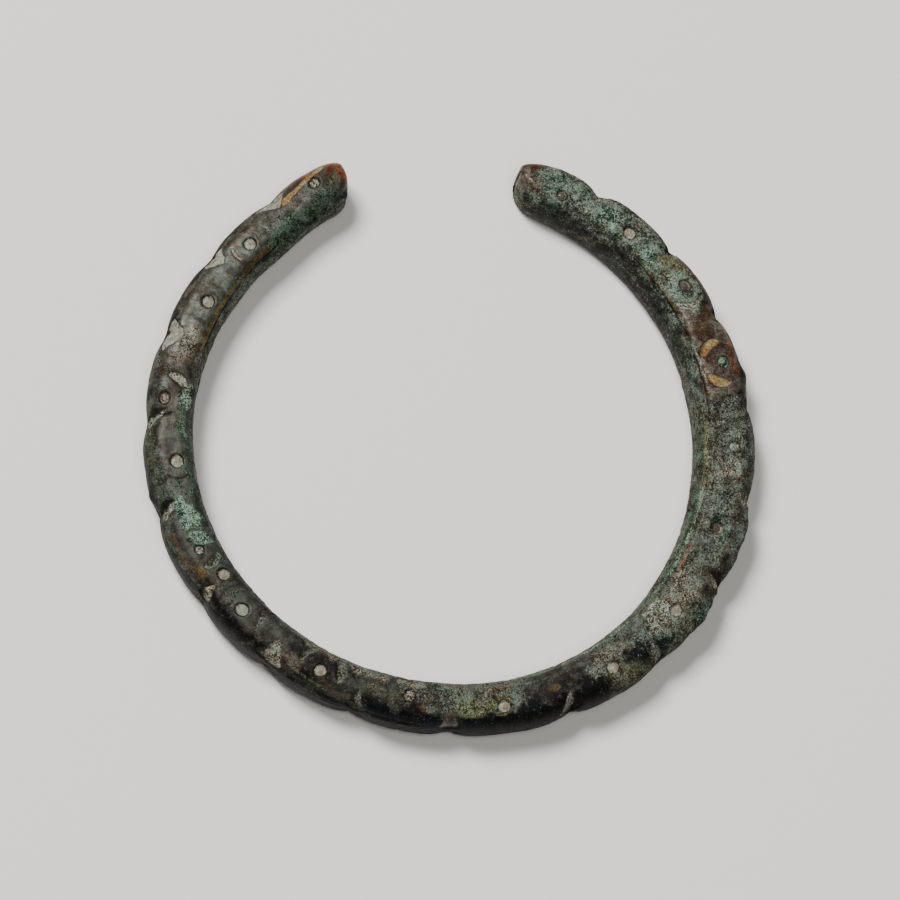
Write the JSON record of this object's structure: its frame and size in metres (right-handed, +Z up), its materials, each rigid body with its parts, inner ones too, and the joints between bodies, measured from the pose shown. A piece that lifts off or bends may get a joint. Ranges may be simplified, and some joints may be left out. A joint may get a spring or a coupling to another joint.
{
  "type": "bracelet",
  "caption": "Open bronze bracelet, solid cast, worn round the wrist, with a notched and lobed outer edge, punched dots and a worn green and brown patina.",
  "frame": {"origin": "centre of the bounding box in plan, on the worn flat of the underside", "axes": "+Z up along the ring's axis, +Y towards the opening, +X to the right as seen from above with the opening away from the viewer"},
  "size_m": [0.071, 0.068, 0.0069],
  "materials": {
    "bronze": "aged cast bronze, dark brown to grey-green, worn satin on the high places and grainy where corroded, with pale soil in the notches"
  },
  "bodies": {
    "root": {"bracelet": "bronze"}
  },
  "joints": []
}
